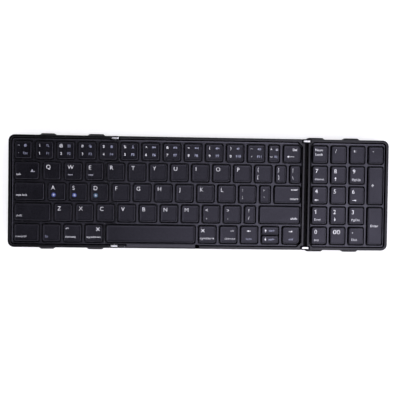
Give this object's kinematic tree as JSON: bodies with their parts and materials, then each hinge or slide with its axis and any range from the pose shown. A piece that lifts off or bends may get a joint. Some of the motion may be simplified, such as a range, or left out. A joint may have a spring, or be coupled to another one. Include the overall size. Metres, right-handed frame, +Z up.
{
  "type": "folding keyboard",
  "caption": "Slim wireless keyboard with a numeric pad, in hinged panels that fold inwards over the keys.",
  "frame": {"origin": "centre of the unfolded footprint, on the surface the keyboard stands on", "axes": "+X to the right along the key rows, +Y to the back edge, +Z up out of the keys"},
  "size_m": [0.341, 0.1032, 0.01],
  "materials": {
    "case": "satin moulded ABS, near black",
    "deck": "fine matte moulded ABS, dark grey",
    "keycap": "fine matte, near black with printed legends",
    "hinge_cover": "matte black",
    "link": "polished bright steel",
    "pin": "ground steel",
    "plate": "stamped sheet",
    "membrane": "printed polyester film",
    "silicone": "translucent silicone",
    "scissor": "moulded acetal",
    "rubber": "matte black rubber",
    "screw": "black-coated steel",
    "board": "solder mask green",
    "cell": "foil pouch",
    "port": "plated steel shell",
    "window": "smoked satin plastic",
    "flex": "amber polyimide film"
  },
  "bodies": {
    "middle_panel": {"middle_case": "case", "middle_deck": "deck", "middle_key_plate": "plate", "middle_membrane": "membrane", "middle_domes": "silicone", "middle_scissors": "scissor", "middle_feet": "rubber", "middle_screws": "screw", "main_board": "board", "battery": "cell", "usb_port": "port", "indicator_window": "window", "left_flex_cable": "flex", "right_flex_cable": "flex"},
    "left_link": {"left_hinge_links": "link", "left_hinge_pins": "pin", "left_hinge_caps": "hinge_cover"},
    "left_panel": {"left_case": "case", "left_deck": "deck", "left_key_plate": "plate", "left_membrane": "membrane", "left_domes": "silicone", "left_scissors": "scissor", "left_feet": "rubber", "left_screws": "screw"},
    "right_link": {"right_hinge_links": "link", "right_hinge_pins": "pin", "right_hinge_caps": "hinge_cover", "right_hinge_spine": "hinge_cover"},
    "right_panel": {"right_case": "case", "right_deck": "deck", "right_key_plate": "plate", "right_membrane": "membrane", "right_domes": "silicone", "right_scissors": "scissor", "right_feet": "rubber", "right_screws": "screw"},
    "left_number_keys": {"left_number_keys": "keycap"},
    "tab_key": {"tab_key": "keycap"},
    "left_upper_keys": {"left_upper_keys": "keycap"},
    "caps_lock_key": {"caps_lock_key": "keycap"},
    "left_home_keys": {"left_home_keys": "keycap"},
    "left_shift_key": {"left_shift_key": "keycap"},
    "left_lower_keys": {"left_lower_keys": "keycap"},
    "left_bottom_keys": {"left_bottom_keys": "keycap"},
    "middle_number_keys": {"middle_number_keys": "keycap"},
    "backspace_key": {"backspace_key": "keycap"},
    "middle_upper_keys": {"middle_upper_keys": "keycap"},
    "middle_home_keys": {"middle_home_keys": "keycap"},
    "enter_key": {"enter_key": "keycap"},
    "middle_lower_keys": {"middle_lower_keys": "keycap"},
    "right_shift_key": {"right_shift_key": "keycap"},
    "space_key": {"space_key": "keycap"},
    "middle_bottom_keys": {"middle_bottom_keys": "keycap"},
    "pad_top_keys": {"pad_top_keys": "keycap"},
    "pad_789_keys": {"pad_789_keys": "keycap"},
    "pad_456_keys": {"pad_456_keys": "keycap"},
    "pad_123_keys": {"pad_123_keys": "keycap"},
    "pad_0_keys": {"pad_0_keys": "keycap"},
    "pad_tall_keys": {"pad_tall_keys": "keycap"}
  },
  "joints": [
    {"name": "left_fold", "type": "hinge", "parent": "middle_panel", "child": "left_link", "pos_m": [-0.0746, 0, 0.0085], "axis": [0, 1, 0], "range_deg": [0, 90], "deforming": ["left_flex_cable"]},
    {"name": "left_fold_outer", "type": "hinge", "parent": "left_link", "child": "left_panel", "pos_m": [-0.0784, 0, 0.0085], "axis": [0, 1, 0], "range_deg": [0, 90]},
    {"name": "right_fold", "type": "hinge", "parent": "middle_panel", "child": "right_link", "pos_m": [0.0936, 0, 0.0085], "axis": [0, -1, 0], "range_deg": [0, 90], "deforming": ["right_flex_cable"]},
    {"name": "right_fold_outer", "type": "hinge", "parent": "right_link", "child": "right_panel", "pos_m": [0.0974, 0, 0.0085], "axis": [0, -1, 0], "range_deg": [0, 90]},
    {"name": "press_left_number_keys", "type": "slide", "parent": "left_panel", "child": "left_number_keys", "axis": [0, 0, -1], "range_m": [0, 0.0015], "stiffness_N_per_m": 1200, "springref_m": -0.001, "deforming": ["left_domes", "left_scissors"]},
    {"name": "press_tab_key", "type": "slide", "parent": "left_panel", "child": "tab_key", "axis": [0, 0, -1], "range_m": [0, 0.0015], "stiffness_N_per_m": 240, "springref_m": -0.001, "deforming": ["left_domes", "left_scissors"]},
    {"name": "press_left_upper_keys", "type": "slide", "parent": "left_panel", "child": "left_upper_keys", "axis": [0, 0, -1], "range_m": [0, 0.0015], "stiffness_N_per_m": 720, "springref_m": -0.001, "deforming": ["left_domes", "left_scissors"]},
    {"name": "press_caps_lock_key", "type": "slide", "parent": "left_panel", "child": "caps_lock_key", "axis": [0, 0, -1], "range_m": [0, 0.0015], "stiffness_N_per_m": 240, "springref_m": -0.001, "deforming": ["left_domes", "left_scissors"]},
    {"name": "press_left_home_keys", "type": "slide", "parent": "left_panel", "child": "left_home_keys", "axis": [0, 0, -1], "range_m": [0, 0.0015], "stiffness_N_per_m": 720, "springref_m": -0.001, "deforming": ["left_domes", "left_scissors"]},
    {"name": "press_left_shift_key", "type": "slide", "parent": "left_panel", "child": "left_shift_key", "axis": [0, 0, -1], "range_m": [0, 0.0015], "stiffness_N_per_m": 240, "springref_m": -0.001, "deforming": ["left_domes", "left_scissors"]},
    {"name": "press_left_lower_keys", "type": "slide", "parent": "left_panel", "child": "left_lower_keys", "axis": [0, 0, -1], "range_m": [0, 0.0015], "stiffness_N_per_m": 720, "springref_m": -0.001, "deforming": ["left_domes", "left_scissors"]},
    {"name": "press_left_bottom_keys", "type": "slide", "parent": "left_panel", "child": "left_bottom_keys", "axis": [0, 0, -1], "range_m": [0, 0.0015], "stiffness_N_per_m": 960, "springref_m": -0.001, "deforming": ["left_domes", "left_scissors"]},
    {"name": "press_middle_number_keys", "type": "slide", "parent": "middle_panel", "child": "middle_number_keys", "axis": [0, 0, -1], "range_m": [0, 0.0015], "stiffness_N_per_m": 1920, "springref_m": -0.001, "deforming": ["middle_domes", "middle_scissors"]},
    {"name": "press_backspace_key", "type": "slide", "parent": "middle_panel", "child": "backspace_key", "axis": [0, 0, -1], "range_m": [0, 0.0015], "stiffness_N_per_m": 240, "springref_m": -0.001, "deforming": ["middle_domes", "middle_scissors"]},
    {"name": "press_middle_upper_keys", "type": "slide", "parent": "middle_panel", "child": "middle_upper_keys", "axis": [0, 0, -1], "range_m": [0, 0.0015], "stiffness_N_per_m": 2400, "springref_m": -0.001, "deforming": ["middle_domes", "middle_scissors"]},
    {"name": "press_middle_home_keys", "type": "slide", "parent": "middle_panel", "child": "middle_home_keys", "axis": [0, 0, -1], "range_m": [0, 0.0015], "stiffness_N_per_m": 1920, "springref_m": -0.001, "deforming": ["middle_domes", "middle_scissors"]},
    {"name": "press_enter_key", "type": "slide", "parent": "middle_panel", "child": "enter_key", "axis": [0, 0, -1], "range_m": [0, 0.0015], "stiffness_N_per_m": 240, "springref_m": -0.001, "deforming": ["middle_domes", "middle_scissors"]},
    {"name": "press_middle_lower_keys", "type": "slide", "parent": "middle_panel", "child": "middle_lower_keys", "axis": [0, 0, -1], "range_m": [0, 0.0015], "stiffness_N_per_m": 1680, "springref_m": -0.001, "deforming": ["middle_domes", "middle_scissors"]},
    {"name": "press_right_shift_key", "type": "slide", "parent": "middle_panel", "child": "right_shift_key", "axis": [0, 0, -1], "range_m": [0, 0.0015], "stiffness_N_per_m": 240, "springref_m": -0.001, "deforming": ["middle_domes", "middle_scissors"]},
    {"name": "press_space_key", "type": "slide", "parent": "middle_panel", "child": "space_key", "axis": [0, 0, -1], "range_m": [0, 0.0015], "stiffness_N_per_m": 240, "springref_m": -0.001, "deforming": ["middle_domes", "middle_scissors"]},
    {"name": "press_middle_bottom_keys", "type": "slide", "parent": "middle_panel", "child": "middle_bottom_keys", "axis": [0, 0, -1], "range_m": [0, 0.0015], "stiffness_N_per_m": 1440, "springref_m": -0.001, "deforming": ["middle_domes", "middle_scissors"]},
    {"name": "press_pad_top_keys", "type": "slide", "parent": "right_panel", "child": "pad_top_keys", "axis": [0, 0, -1], "range_m": [0, 0.0015], "stiffness_N_per_m": 960, "springref_m": -0.001, "deforming": ["right_domes", "right_scissors"]},
    {"name": "press_pad_789_keys", "type": "slide", "parent": "right_panel", "child": "pad_789_keys", "axis": [0, 0, -1], "range_m": [0, 0.0015], "stiffness_N_per_m": 720, "springref_m": -0.001, "deforming": ["right_domes", "right_scissors"]},
    {"name": "press_pad_456_keys", "type": "slide", "parent": "right_panel", "child": "pad_456_keys", "axis": [0, 0, -1], "range_m": [0, 0.0015], "stiffness_N_per_m": 720, "springref_m": -0.001, "deforming": ["right_domes", "right_scissors"]},
    {"name": "press_pad_123_keys", "type": "slide", "parent": "right_panel", "child": "pad_123_keys", "axis": [0, 0, -1], "range_m": [0, 0.0015], "stiffness_N_per_m": 720, "springref_m": -0.001, "deforming": ["right_domes", "right_scissors"]},
    {"name": "press_pad_0_keys", "type": "slide", "parent": "right_panel", "child": "pad_0_keys", "axis": [0, 0, -1], "range_m": [0, 0.0015], "stiffness_N_per_m": 720, "springref_m": -0.001, "deforming": ["right_domes", "right_scissors"]},
    {"name": "press_pad_tall_keys", "type": "slide", "parent": "right_panel", "child": "pad_tall_keys", "axis": [0, 0, -1], "range_m": [0, 0.0015], "stiffness_N_per_m": 480, "springref_m": -0.001, "deforming": ["right_domes", "right_scissors"]}
  ],
  "couplings": [
    {"joint": "left_fold_outer", "follows": "left_fold", "ratio": 1},
    {"joint": "right_fold_outer", "follows": "right_fold", "ratio": 1}
  ]
}
